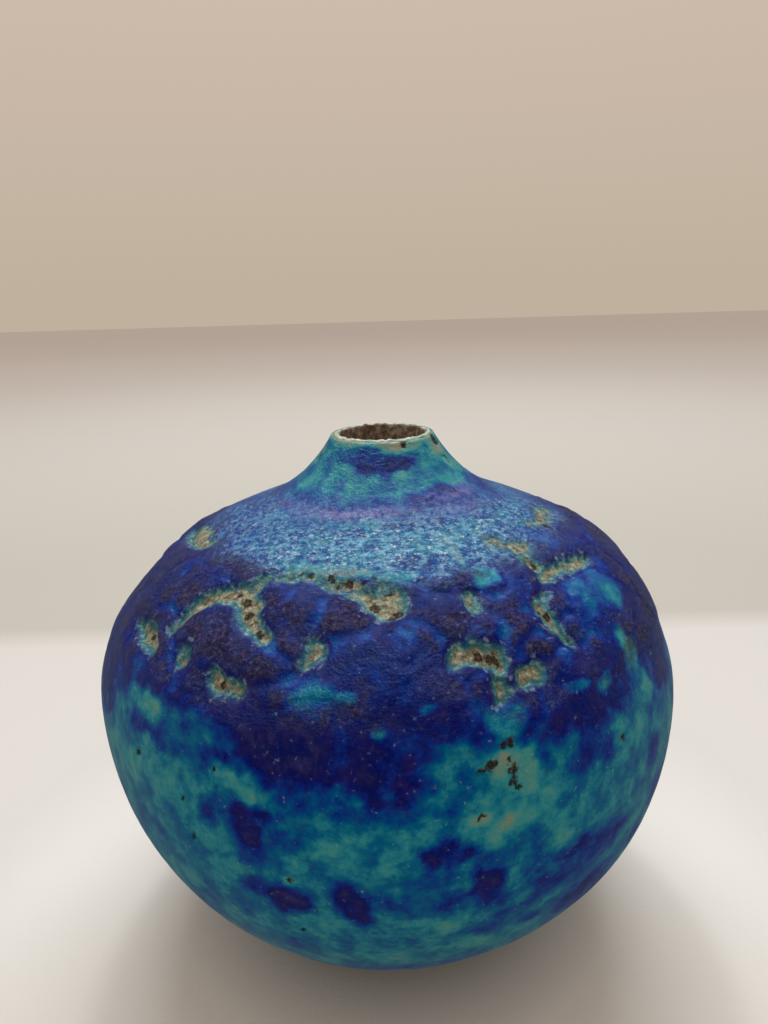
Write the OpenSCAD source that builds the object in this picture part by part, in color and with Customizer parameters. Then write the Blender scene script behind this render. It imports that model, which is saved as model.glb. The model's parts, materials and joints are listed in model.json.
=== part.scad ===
// Stoneware bottle vase with a crawled glaze.
// A round thrown belly, a short drawn-in neck with a thin lip, and a low foot ring.
// The neck collar and the foot ring are luted to the thrown wall with lap and tongue joints.
// Each coat of glaze is a shell of revolution that meets what it covers face to face.
// Origin: centre of the foot's resting plane. +Z runs up the axis to the mouth.

/* [Form] */
// Widest diameter of the belly, over the glaze
body_d = 130; // [110:5:160]
// Height of the widest ring above the table, in belly radii
equator_share = 0.9; // [0.88:0.01:0.94]
// Clear diameter of the mouth
mouth_d = 19; // [16:1:22]
// Thickness of the lip, glaze included
lip_t = 1.8; // [1.6:0.1:2.4]

/* [Clay wall] */
// Thickness of the thrown wall
wall_t = 5; // [4:0.5:6]
// Half the width of the lap where the neck collar sits on the wall
lap_half = 2.5; // [1.5:0.5:3]

/* [Foot] */
// Outer diameter of the foot ring
foot_d = 54; // [48:1:54]
// Width of the foot ring's resting face
foot_w = 7; // [5:0.5:9]
// Height of the foot ring below the floor
foot_h = 3; // [2:0.5:3]
// Height of the tongue that keys the ring into the floor
tongue_h = 1.5; // [1:0.5:2]

/* [Glaze] */
// Thickness of the pale coat next to the clay
base_t = 0.5; // [0.4:0.1:0.8]
// Thickness of the turquoise coat
turquoise_t = 0.5; // [0.4:0.1:0.8]
// Thickness of the cobalt coat on the shoulder
cobalt_t = 0.6; // [0.5:0.1:1]
// Thickness of the coat inside
liner_t = 0.5; // [0.4:0.1:0.8]

/* [Hidden] */
$fn = 96;

body_r = body_d / 2;
equator_z = body_r * equator_share;
mouth_r = mouth_d / 2;
lip_r = mouth_r + lip_t;
foot_r = foot_d / 2;

// The outside is three cubic curves, end to end, in belly radii from the equator's centre:
// belly (u from 0 to 1), shoulder (1 to 2) and neck (2 to 3).
neck_r = 0.409;
neck_z = 0.665;
neck_slope = 23.3;
lip_z = 0.881;
lip_slope = 61.4;
BELLY = [[0, -0.972], [0.435, -0.972], [1, -0.604], [1, 0]];
SHOULDER = [
    [1, 0],
    [1, 0.485],
    [neck_r + 0.235 * cos(neck_slope), neck_z - 0.235 * sin(neck_slope)],
    [neck_r, neck_z]
];
lip_share = lip_r / body_r;
NECK = [
    [neck_r, neck_z],
    [neck_r - 0.125 * cos(neck_slope), neck_z + 0.125 * sin(neck_slope)],
    [lip_share + 0.084 * cos(lip_slope), lip_z - 0.084 * sin(lip_slope)],
    [lip_share, lip_z]
];

// Places along the outside, as values of u
clay_foot_u = 0.34;
glaze_foot_u = 0.36;
cavity_u = 0.38;
cobalt_low_u = 1.02;
cobalt_high_u = 2.1;
joint_u = 1.93;
lip_u = 3;
steps = 14;

// Share of a coat's thickness that is left at the lip
lip_thin = 0.5;

// Crawl gaps: [azimuth in degrees from the front, distance up the wall from the widest ring,
// radius of the cut]
GAPS = [
    // the long arc on the left, with its link to the middle
    [-47, 34.5, 1.4], [-46, 37.5, 1.7], [-42, 40.5, 2], [-37, 42, 2.4], [-33, 41, 2.3],
    [-31, 38, 1.9], [-28, 36.5, 1.6], [-34, 44.5, 1.6], [-25, 49, 1.9], [-20, 49, 1.8],
    // the wide gap and the crater at its right end
    [-14, 48.5, 2.8], [-9, 48, 2.8], [-3, 44.5, 3], [1, 42.5, 3.4],
    // single gaps, left to right
    [-80, 48, 3], [-74, 47, 2.6], [-57, 27, 2], [-54, 27, 2.6], [-41, 28, 1.5], [-30, 25.5, 1.7],
    [-27, 25, 1.4], [-14, 34, 1.8], [12.5, 32.5, 2], [16, 32, 2.2], [19.5, 30.5, 2.6],
    [19.5, 42, 1.8], [19, 25.5, 1.5], [25, 26.5, 2.2], [34, 35.5, 2],
    // the broken line on the right
    [43, 52.5, 2.4], [42.5, 47.5, 2], [45, 44, 2], [51, 43, 2], [57, 42.5, 1.9], [72, 53.5, 2.6],
    // the back
    [-98, 33, 2.2], [-103, 36, 2.8], [-109, 38, 2.2], [-126, 47, 2.8], [-133, 44, 2.4],
    [-150, 30, 3], [-158, 33, 2.4], [-176, 43, 3.4], [177, 47, 2.6], [168, 29, 2],
    [152, 37, 2.8], [146, 40, 2.4], [130, 48, 2.6], [122, 28, 2.2], [110, 38, 3], [105, 35, 2.2],
    [88, 27, 2.4]
];
// Belly radius at which the gaps lie the listed distances up the wall
gap_body_r = 65;
// The pale coat shows through the turquoise where a gap is at least this wide
pale_gap_r = 2.6;
// The turquoise left as a fringe round such a gap
fringe = 0.7;

// Point and direction of a cubic curve at t
function cubic(p, t) =
    pow(1 - t, 3) * p[0] + 3 * pow(1 - t, 2) * t * p[1]
    + 3 * (1 - t) * pow(t, 2) * p[2] + pow(t, 3) * p[3];
function cubic_slope(p, t) =
    pow(1 - t, 2) * (p[1] - p[0]) + 2 * (1 - t) * t * (p[2] - p[1])
    + pow(t, 2) * (p[3] - p[2]);
function stretch(u) = u < 1 ? BELLY : u < 2 ? SHOULDER : NECK;
function along(u) = u < 1 ? u : u < 2 ? u - 1 : u - 2;
function outward(u) =
    let (d = cubic_slope(stretch(u), along(u)))
    [d.y, -d.x] / norm(d);

// Point [radius, height] at place u, a depth under the outermost surface
function skin(u, depth) =
    body_r * cubic(stretch(u), along(u)) + [0, equator_z] - depth * outward(u);

function ease(x) = let (c = min(max(x, 0), 1)) c * c * (3 - 2 * c);
function thin_at_lip(u) = 1 - (1 - lip_thin) * ease(u - 2);
function cobalt_at(u) =
    cobalt_t * ease((u - cobalt_low_u) / 0.2) * (1 - ease((u - cobalt_high_u + 0.2) / 0.2));
function turquoise_depth(u) = cobalt_at(u);
function base_depth(u) = turquoise_depth(u) + turquoise_t * thin_at_lip(u);
function clay_depth(u) = base_depth(u) + base_t * thin_at_lip(u);
function cavity_depth(u) = clay_depth(u) + wall_t;

function places(from, to) =
    let (count = ceil((to - from) * steps))
    [for (i = [0 : count]) from + (to - from) * i / count];
function reversed(list) = [for (i = [len(list) - 1 : -1 : 0]) list[i]];

// Highest place where the cavity is still wider than the throat
throat_u = max([for (u = places(2, 3)) if (skin(u, cavity_depth(u)).x > mouth_r + 0.5) u]);
CAVITY_U = places(cavity_u, throat_u);
cavity_floor_z = skin(cavity_u, cavity_depth(cavity_u)).y;
throat_low_z = skin(throat_u, cavity_depth(throat_u)).y;

// Outer edge of the clay at the lip, and the half round on top of it
clay_lip = skin(lip_u, clay_depth(lip_u));
lip_round_r = (clay_lip.x - mouth_r) / 2;
LIP_ROUND = [
    for (a = [0 : 30 : 180])
        [mouth_r + lip_round_r * (1 + cos(a)), clay_lip.y + lip_round_r * sin(a)]
];

// Closed outline of all the clay above the foot ring
CLAY = concat(
    [[0, foot_h]],
    [[skin(clay_foot_u, clay_depth(clay_foot_u)).x, foot_h]],
    [
        for (u = places(clay_foot_u, lip_u))
            let (p = skin(u, clay_depth(u)))
            if (p.y > foot_h + 0.3 && u < lip_u) p
    ],
    LIP_ROUND,
    [[mouth_r, throat_low_z]],
    reversed([for (u = CAVITY_U) skin(u, cavity_depth(u))]),
    [[0, cavity_floor_z]]
);

joint = skin(joint_u, clay_depth(joint_u) + wall_t / 2);
key_w = foot_w / 3;

// Depths of a coat's two surfaces at place u
function coat_outer(coat, u) =
    coat == "base" ? base_depth(u) : coat == "turquoise" ? turquoise_depth(u) : 0;
function coat_inner(coat, u) =
    coat == "base" ? clay_depth(u) : coat == "turquoise" ? base_depth(u) : turquoise_depth(u);

// One coat of glaze between two places on the outside
module coat(name, from, to) {
    at = places(from, to);
    inner = reversed([for (u = at) skin(u, coat_inner(name, u))]);
    rotate_extrude()
        polygon(concat([for (u = at) skin(u, coat_outer(name, u))], inner));
}

// The cobalt coat runs out to nothing at both ends, so its two surfaces share their end points
module cobalt_shell() {
    at = places(cobalt_low_u, cobalt_high_u);
    last = len(at) - 1;
    rotate_extrude()
        polygon(concat(
            [for (u = at) skin(u, 0)],
            [for (i = [last - 1 : -1 : 1]) skin(at[i], turquoise_depth(at[i]))]
        ));
}

// Place on the outside at a distance up the wall from the widest ring
WALL_U = places(1, 2.5);
function run_to(i) =
    i == 0 ? 0 : run_to(i - 1) + norm(skin(WALL_U[i], 0) - skin(WALL_U[i - 1], 0));
RUNS = [for (i = [0 : len(WALL_U) - 1]) [run_to(i), WALL_U[i]]];
function place_at(run) = lookup(run, RUNS);

// A round cut square to the surface
module gap_cut(azimuth, run, r) {
    reach = 4;
    u = place_at(run * body_r / gap_body_r);
    p = skin(u, 0);
    n = outward(u);
    rotate([0, 0, azimuth - 90])
        translate([p.x, 0, p.y])
            rotate([0, atan2(n.x, n.y), 0])
                translate([0, 0, -reach])
                    cylinder(r = r, h = 2 * reach);
}

module clay() {
    rotate_extrude() polygon(CLAY);
}

// The space that the neck collar fills: a wide flange over the lap, a narrower root below it
module collar_zone() {
    above = body_d;
    translate([0, 0, joint.y]) cylinder(r = joint.x + lap_half, h = above);
    translate([0, 0, joint.y - wall_t * 2]) cylinder(r = joint.x - lap_half, h = above);
}

module ring(outer_r, inner_r, low, high) {
    rotate_extrude()
        translate([inner_r, low]) square([outer_r - inner_r, high - low]);
}

module foot_key() {
    middle = foot_r - foot_w / 2;
    ring(middle + key_w / 2, middle - key_w / 2, foot_h, foot_h + tongue_h);
}

module clay_body() {
    color("#8a6a52")
        difference() {
            clay();
            collar_zone();
            foot_key();
        }
}

module neck_collar() {
    color("#7b5c47")
        intersection() {
            clay();
            collar_zone();
        }
}

// The ring stands on a flat ground face with a small chamfer on both edges
module foot_ring() {
    chamfer = 0.8;
    inner = foot_r - foot_w;
    color("#6f523f") {
        union() {
            rotate_extrude()
                polygon([
                    [inner + chamfer, 0], [foot_r - chamfer, 0], [foot_r, chamfer],
                    [foot_r, foot_h], [inner, foot_h], [inner, chamfer]
                ]);
            foot_key();
        }
    }
}

module liner_glaze() {
    outer = [for (u = CAVITY_U) skin(u, cavity_depth(u))];
    inner = reversed([for (u = CAVITY_U) skin(u, cavity_depth(u) + liner_t)]);
    color("#a08a6c")
        rotate_extrude()
            polygon(concat(
                [[0, cavity_floor_z]], outer, inner, [[0, inner[len(inner) - 1].y]]
            ));
}

module base_glaze() {
    color("#b9b08f") coat("base", glaze_foot_u, lip_u);
}

module turquoise_glaze() {
    color("#1fa3b5")
        difference() {
            coat("turquoise", glaze_foot_u, lip_u);
            for (g = GAPS)
                if (g[2] >= pale_gap_r) gap_cut(g[0], g[1], g[2] - fringe);
        }
}

module cobalt_glaze() {
    color("#2b2f9b")
        difference() {
            cobalt_shell();
            for (g = GAPS) gap_cut(g[0], g[1], g[2]);
        }
}

clay_body();
neck_collar();
foot_ring();
liner_glaze();
base_glaze();
turquoise_glaze();
cobalt_glaze();
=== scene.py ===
import json
import math

import bpy
import numpy as np
from mathutils import Matrix, Vector


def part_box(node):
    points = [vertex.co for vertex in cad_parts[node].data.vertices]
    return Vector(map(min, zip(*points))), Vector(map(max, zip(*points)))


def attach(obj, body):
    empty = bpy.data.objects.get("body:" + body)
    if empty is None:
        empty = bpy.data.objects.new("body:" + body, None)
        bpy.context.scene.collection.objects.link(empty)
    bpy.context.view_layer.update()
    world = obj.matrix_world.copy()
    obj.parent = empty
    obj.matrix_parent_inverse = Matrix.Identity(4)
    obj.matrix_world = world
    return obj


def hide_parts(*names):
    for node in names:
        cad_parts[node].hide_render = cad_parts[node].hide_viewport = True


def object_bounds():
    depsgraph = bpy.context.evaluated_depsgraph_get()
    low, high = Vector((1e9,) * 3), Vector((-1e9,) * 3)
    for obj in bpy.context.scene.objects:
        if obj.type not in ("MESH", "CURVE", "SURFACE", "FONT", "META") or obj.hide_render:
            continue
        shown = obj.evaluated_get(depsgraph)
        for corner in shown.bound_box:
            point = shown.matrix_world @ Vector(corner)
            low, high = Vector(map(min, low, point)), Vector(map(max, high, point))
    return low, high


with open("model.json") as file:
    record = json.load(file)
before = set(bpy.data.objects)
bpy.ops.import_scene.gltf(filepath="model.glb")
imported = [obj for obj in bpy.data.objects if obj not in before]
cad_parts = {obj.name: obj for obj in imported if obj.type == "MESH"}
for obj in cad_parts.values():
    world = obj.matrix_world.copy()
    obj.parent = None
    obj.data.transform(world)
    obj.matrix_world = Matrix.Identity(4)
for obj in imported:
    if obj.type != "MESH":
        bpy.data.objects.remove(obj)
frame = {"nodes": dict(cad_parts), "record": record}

# A hand-thrown stoneware bottle vase with a crawled cobalt and turquoise glaze.
# Lengths are in millimetres until a mesh, lamp or camera is made, which is in metres.
# A place on the wall is (azimuth in degrees from the front, run), where run is the distance
# along the wall above the widest ring. The front faces -Y.

MM = 0.001
cad_low, cad_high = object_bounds()
mouth = next(m for m in frame["record"]["mounts"] if m["name"] == "mouth")

BELLY_R = cad_high.x / MM
MOUTH_R = mouth["dims"]["r_mm"]
LIP_T = 1.8
EQUATOR_Z = 0.9 * BELLY_R

# ------------------------------------------------------------------ the outline
# Three cubic curves in belly radii, end to end: belly, shoulder and neck.
NECK_R, NECK_Z, NECK_SLOPE = 0.409, 0.665, math.radians(23.3)
LIP_R, LIP_Z, LIP_SLOPE = (MOUTH_R + LIP_T) / BELLY_R, 0.881, math.radians(61.4)
BELLY = [(0, -0.972), (0.435, -0.972), (1, -0.604), (1, 0)]
SHOULDER = [
    (1, 0),
    (1, 0.485),
    (NECK_R + 0.235 * math.cos(NECK_SLOPE), NECK_Z - 0.235 * math.sin(NECK_SLOPE)),
    (NECK_R, NECK_Z),
]
NECK = [
    (NECK_R, NECK_Z),
    (NECK_R - 0.125 * math.cos(NECK_SLOPE), NECK_Z + 0.125 * math.sin(NECK_SLOPE)),
    (LIP_R + 0.084 * math.cos(LIP_SLOPE), LIP_Z - 0.084 * math.sin(LIP_SLOPE)),
    (LIP_R, LIP_Z),
]
GLAZE_FOOT_T = 0.36


def cubic(curve, t):
    a, b, c, d = (np.array(p) for p in curve)
    t = t[:, None]
    return (1 - t) ** 3 * a + 3 * (1 - t) ** 2 * t * b + 3 * (1 - t) * t**2 * c + t**3 * d


def outline():
    """Radius, height, outward normal and run of many points from the foot to the lip."""
    whole = np.linspace(0, 1, 1200)
    pieces = [
        cubic(BELLY, GLAZE_FOOT_T + (1 - GLAZE_FOOT_T) * whole),
        cubic(SHOULDER, whole)[1:],
        cubic(NECK, whole)[1:],
    ]
    line = np.concatenate(pieces) * BELLY_R + (0, EQUATOR_Z)
    steps = np.hypot(*np.diff(line, axis=0).T)
    run = np.concatenate([[0], np.cumsum(steps)])
    run -= run[len(whole) - 1]
    ahead = np.gradient(line, run, axis=0)
    normal = np.stack([ahead[:, 1], -ahead[:, 0]], 1)
    normal /= np.linalg.norm(normal, axis=1, keepdims=True)
    return run, line, normal


RUN, LINE, NORMAL = outline()
FOOT_RUN, LIP_RUN = RUN[0], RUN[-1]


def wall(azimuth, run, height=0.0):
    """Points on the outside of the wall, raised by height along its normal."""
    radius = np.interp(run, RUN, LINE[:, 0]) + height * np.interp(run, RUN, NORMAL[:, 0])
    z = np.interp(run, RUN, LINE[:, 1]) + height * np.interp(run, RUN, NORMAL[:, 1])
    turn = np.radians(azimuth)
    return np.stack([radius * np.sin(turn), -radius * np.cos(turn), z + 0 * turn], -1)


# ------------------------------------------------------------------ noise
def ease(x):
    x = np.clip(x, 0, 1)
    return x * x * (3 - 2 * x)


def between(x, low, high):
    return ease((x - low) / (high - low))


class Noise:
    """Seeded gradient noise, from about -1 to 1, on points in millimetres."""

    def __init__(self, seed):
        rng = np.random.default_rng(seed)
        self.order = rng.permutation(256)
        slopes = rng.normal(size=(256, 3))
        self.slopes = slopes / np.linalg.norm(slopes, axis=1, keepdims=True)

    def pick(self, cell):
        i = self.order[cell[..., 0] & 255]
        i = self.order[(i + cell[..., 1]) & 255]
        return self.order[(i + cell[..., 2]) & 255]

    def layer(self, p):
        cell = np.floor(p).astype(int)
        part = p - cell
        blend = part**3 * (part * (part * 6 - 15) + 10)
        total = 0
        for corner in np.ndindex(2, 2, 2):
            corner = np.array(corner)
            slope = self.slopes[self.pick(cell + corner)]
            share = np.where(corner == 1, blend, 1 - blend).prod(-1)
            total = total + share * (slope * (part - corner)).sum(-1)
        return 1.7 * total

    def __call__(self, points, size, layers=1):
        total, weight, p = 0, 0, points / size
        for i in range(layers):
            total = total + self.layer(p + 31.7 * i) * 0.5**i
            weight += 0.5**i
            p = p * 2.03
        return total / weight

    def cells(self, points, size):
        """How far a point is from the nearest border between scattered cells, 0 on it."""
        p = points / size
        cell = np.floor(p).astype(int)
        first = np.full(p.shape[:-1], 9.0)
        second = first.copy()
        for near in np.ndindex(3, 3, 3):
            home = cell + np.array(near) - 1
            heart = home + 0.5 + 0.45 * self.slopes[self.pick(home)]
            far = np.linalg.norm(p - heart, axis=-1)
            second = np.minimum(second, np.maximum(first, far))
            first = np.minimum(first, far)
        return second - first


lump_noise, warp_noise, fine_noise, patch_noise, pit_noise = (Noise(s) for s in (3, 8, 15, 21, 34))

# ------------------------------------------------------------------ the crawl gaps
# Each gap is a line of (azimuth, run, half width).
GAPS = [
    # the long arc on the left and its link to the middle
    [(-48, 31, 0.5), (-47, 35, 1.1), (-45.5, 38, 1.5), (-43, 40.5, 1.7), (-39, 42, 2.1),
     (-35, 42, 2.1), (-32.5, 40.5, 2.1), (-31, 38.3, 1.8), (-28, 36.6, 1.5), (-25, 35.3, 0.8)],
    [(-35, 42.5, 1.4), (-34, 44.5, 1.1), (-33.5, 46.5, 0.5), (-32, 48, 0.2)],
    [(-28.5, 48, 0.4), (-24.5, 49, 0.9), (-20, 48.8, 0.5), (-17, 48.2, 0.7)],
    # the wide gap and its crater
    [(-16, 48.2, 0.9), (-12, 47.8, 1.3), (-8.5, 47.3, 1.5), (-5.5, 46.2, 1.2), (-2.8, 44, 2.0),
     (0.5, 42.8, 2.7)],
    [(1, 45, 2.2), (-0.5, 47, 1.2)],
    # single gaps from left to right
    [(-92, 43, 1.5), (-86, 45, 2.2), (-80, 47.5, 2.6), (-74, 47, 2.0), (-68, 48.5, 0.9)],
    [(-62, 27, 0.6), (-57, 27.3, 1.6), (-54, 27, 2.0), (-51, 26, 1.0)],
    [(-41.5, 29, 0.7), (-41, 27, 0.9)],
    [(-32.5, 26.5, 0.8), (-30, 25.3, 1.3), (-26.5, 24.8, 1.0)],
    [(-14.5, 35, 1.1), (-13.5, 33.5, 1.2), (-15.5, 31, 0.5)],
    [(11.8, 31.5, 1.3), (13, 32.8, 1.3), (16, 32.2, 1.6), (19, 31, 1.7), (19.8, 29.5, 1.4)],
    [(18.8, 26, 1.0), (18.2, 24, 0.8)],
    [(23.5, 26, 1.2), (26, 26.6, 1.6)],
    [(19.3, 43, 1.1), (19, 41, 1.0)],
    [(38, 40, 0.5), (35, 38.8, 0.6), (33.6, 37, 1.0), (34.2, 35, 1.3), (35, 33, 0.8),
     (36, 30, 0.4)],
    # the broken line on the right
    [(36, 55.5, 0.8), (41, 53, 1.5), (44, 51.8, 1.6), (47, 50.8, 1.0)],
    [(42, 48, 1.3), (43, 46.3, 1.3)],
    [(41.5, 43, 0.8), (44, 43.6, 1.2), (48, 43.5, 1.1), (52, 42.8, 1.1), (57, 42.2, 1.2),
     (62, 41, 0.7)],
    [(62, 54.5, 0.8), (68, 53.5, 1.2), (73, 53, 1.6), (79, 54, 1.2), (88, 52, 1.0)],
    # the back
    [(-98, 31, 0.8), (-100, 34, 1.6), (-104, 36.5, 2.0), (-109, 38, 1.5), (-113, 37, 0.7)],
    [(-122, 48, 1.0), (-126, 47, 2.0), (-131, 45, 1.8), (-134, 42, 1.0)],
    [(-147, 30, 1.2), (-151, 30.5, 2.2), (-156, 32.5, 1.5), (-160, 34, 0.7)],
    [(-171, 41, 1.4), (-176, 43, 2.6), (180, 45, 1.8), (176, 47.5, 1.7), (171, 48, 0.9)],
    [(170, 28, 1.0), (166, 29.5, 1.4)],
    [(156, 36, 1.2), (152, 37, 2.0), (148, 39, 1.8), (145, 42, 1.0)],
    [(134, 47.5, 1.0), (129, 48.5, 1.8), (124, 47, 1.2)],
    [(123, 27, 1.0), (121, 28.5, 1.4), (119, 31, 0.7)],
    [(114, 39, 1.0), (110, 38, 2.1), (106, 36, 1.7), (103, 33, 0.9)],
    [(90, 27.5, 1.1), (87, 26.5, 1.6)],
]
# Soft valleys between the thick islands of the coat
CREASES = [
    [(-31.5, 46, 0.3), (-31.3, 42, 0.3), (-28, 38.8, 0.4), (-24.3, 36.5, 0.5), (-23.3, 34, 0.4),
     (-21, 32.3, 0.3), (-18.5, 31.4, 0.1)],
    [(-14.3, 46.2, 0.3), (-14.8, 42, 0.3), (-15.8, 38.5, 0.4), (-15.4, 36.6, 0.5), (-12, 36, 0.5),
     (-8, 35.8, 0.4), (-4, 37.2, 0.4), (-2, 39, 0.3)],
    [(-15.6, 35, 0.4), (-15, 32.3, 0.5), (-16.8, 29, 0.4), (-20, 27.3, 0.3), (-24, 26.3, 0.2)],
    [(-46, 29, 0.3), (-44, 27.4, 0.4), (-42, 26, 0.2)],
    [(11.3, 33.6, 0.3), (10, 36, 0.4), (7.5, 38.3, 0.3), (4, 39.5, 0.3)],
    [(3.5, 31, 0.2), (5.5, 33.4, 0.4), (4.6, 36.5, 0.3), (2, 38, 0.3)],
    [(21.8, 33, 0.3), (23.4, 36, 0.4), (22, 39.5, 0.3), (20.5, 41, 0.2)],
    [(32.6, 32, 0.3), (30, 33.6, 0.3), (26.5, 33.2, 0.3), (24.4, 30.5, 0.3), (26.5, 28.8, 0.4),
     (30.5, 28.4, 0.3), (33.8, 30, 0.2)],
    [(36.3, 33.8, 0.3), (39, 34.4, 0.3), (41.8, 32.8, 0.3), (41.4, 29.6, 0.3), (38.4, 28.4, 0.3),
     (36.2, 30.4, 0.3)],
    [(35.5, 40, 0.3), (38.5, 41.3, 0.4), (42, 41, 0.4), (44.5, 38.6, 0.3), (42.5, 35.8, 0.2)],
    [(-58, 33, 0.3), (-53, 34.5, 0.4), (-49.5, 33.5, 0.3)],
    [(8, 47.5, 0.2), (10, 44.5, 0.4), (15, 44.2, 0.4), (18, 45, 0.3)],
    [(22, 43.5, 0.3), (25, 42.2, 0.4), (29.5, 43, 0.3), (31.5, 46, 0.3)],
    [(-113, 37, 0.3), (-118, 35, 0.4), (-121, 31, 0.4), (-128, 29, 0.3), (-133, 31, 0.2)],
    [(-134, 42, 0.3), (-139, 39, 0.4), (-140, 34, 0.4), (-147, 31, 0.3)],
    [(-160, 34, 0.3), (-165, 37, 0.4), (-171, 41, 0.3)],
    [(-166, 37, 0.3), (-170, 32, 0.4), (-178, 30, 0.4), (-190, 28, 0.2)],
    [(166, 30, 0.3), (160, 33, 0.4), (156, 36, 0.3)],
    [(145, 42, 0.3), (140, 45, 0.4), (134, 47, 0.3)],
    [(148, 38, 0.3), (142, 34, 0.4), (133, 33, 0.4), (123, 27, 0.2)],
    [(134, 34, 0.3), (128, 39, 0.4), (120, 41, 0.3), (114, 39, 0.3)],
    [(103, 33, 0.3), (96, 34, 0.4), (90, 31, 0.3), (88, 28, 0.2)],
]
FAR = 14.0


def line_distance(points, lines):
    """Distance to the edge of the nearest line, negative inside one, at most FAR."""
    found = np.full(points.shape[:-1], FAR)
    for gap in lines:
        places = np.array(gap)
        line = wall(places[:, 0], places[:, 1])
        for i in range(len(line) - 1):
            a, b = line[i], line[i + 1]
            along = b - a
            near = np.linalg.norm(points - (a + b) / 2, axis=-1) < FAR + np.linalg.norm(along)
            p = points[near]
            t = np.clip((p - a) @ along / (along @ along), 0, 1)
            half = places[i, 2] + (places[i + 1, 2] - places[i, 2]) * t
            away = np.linalg.norm(p - a - t[:, None] * along, axis=-1) - half
            found[near] = np.minimum(found[near], away)
    return found


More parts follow.
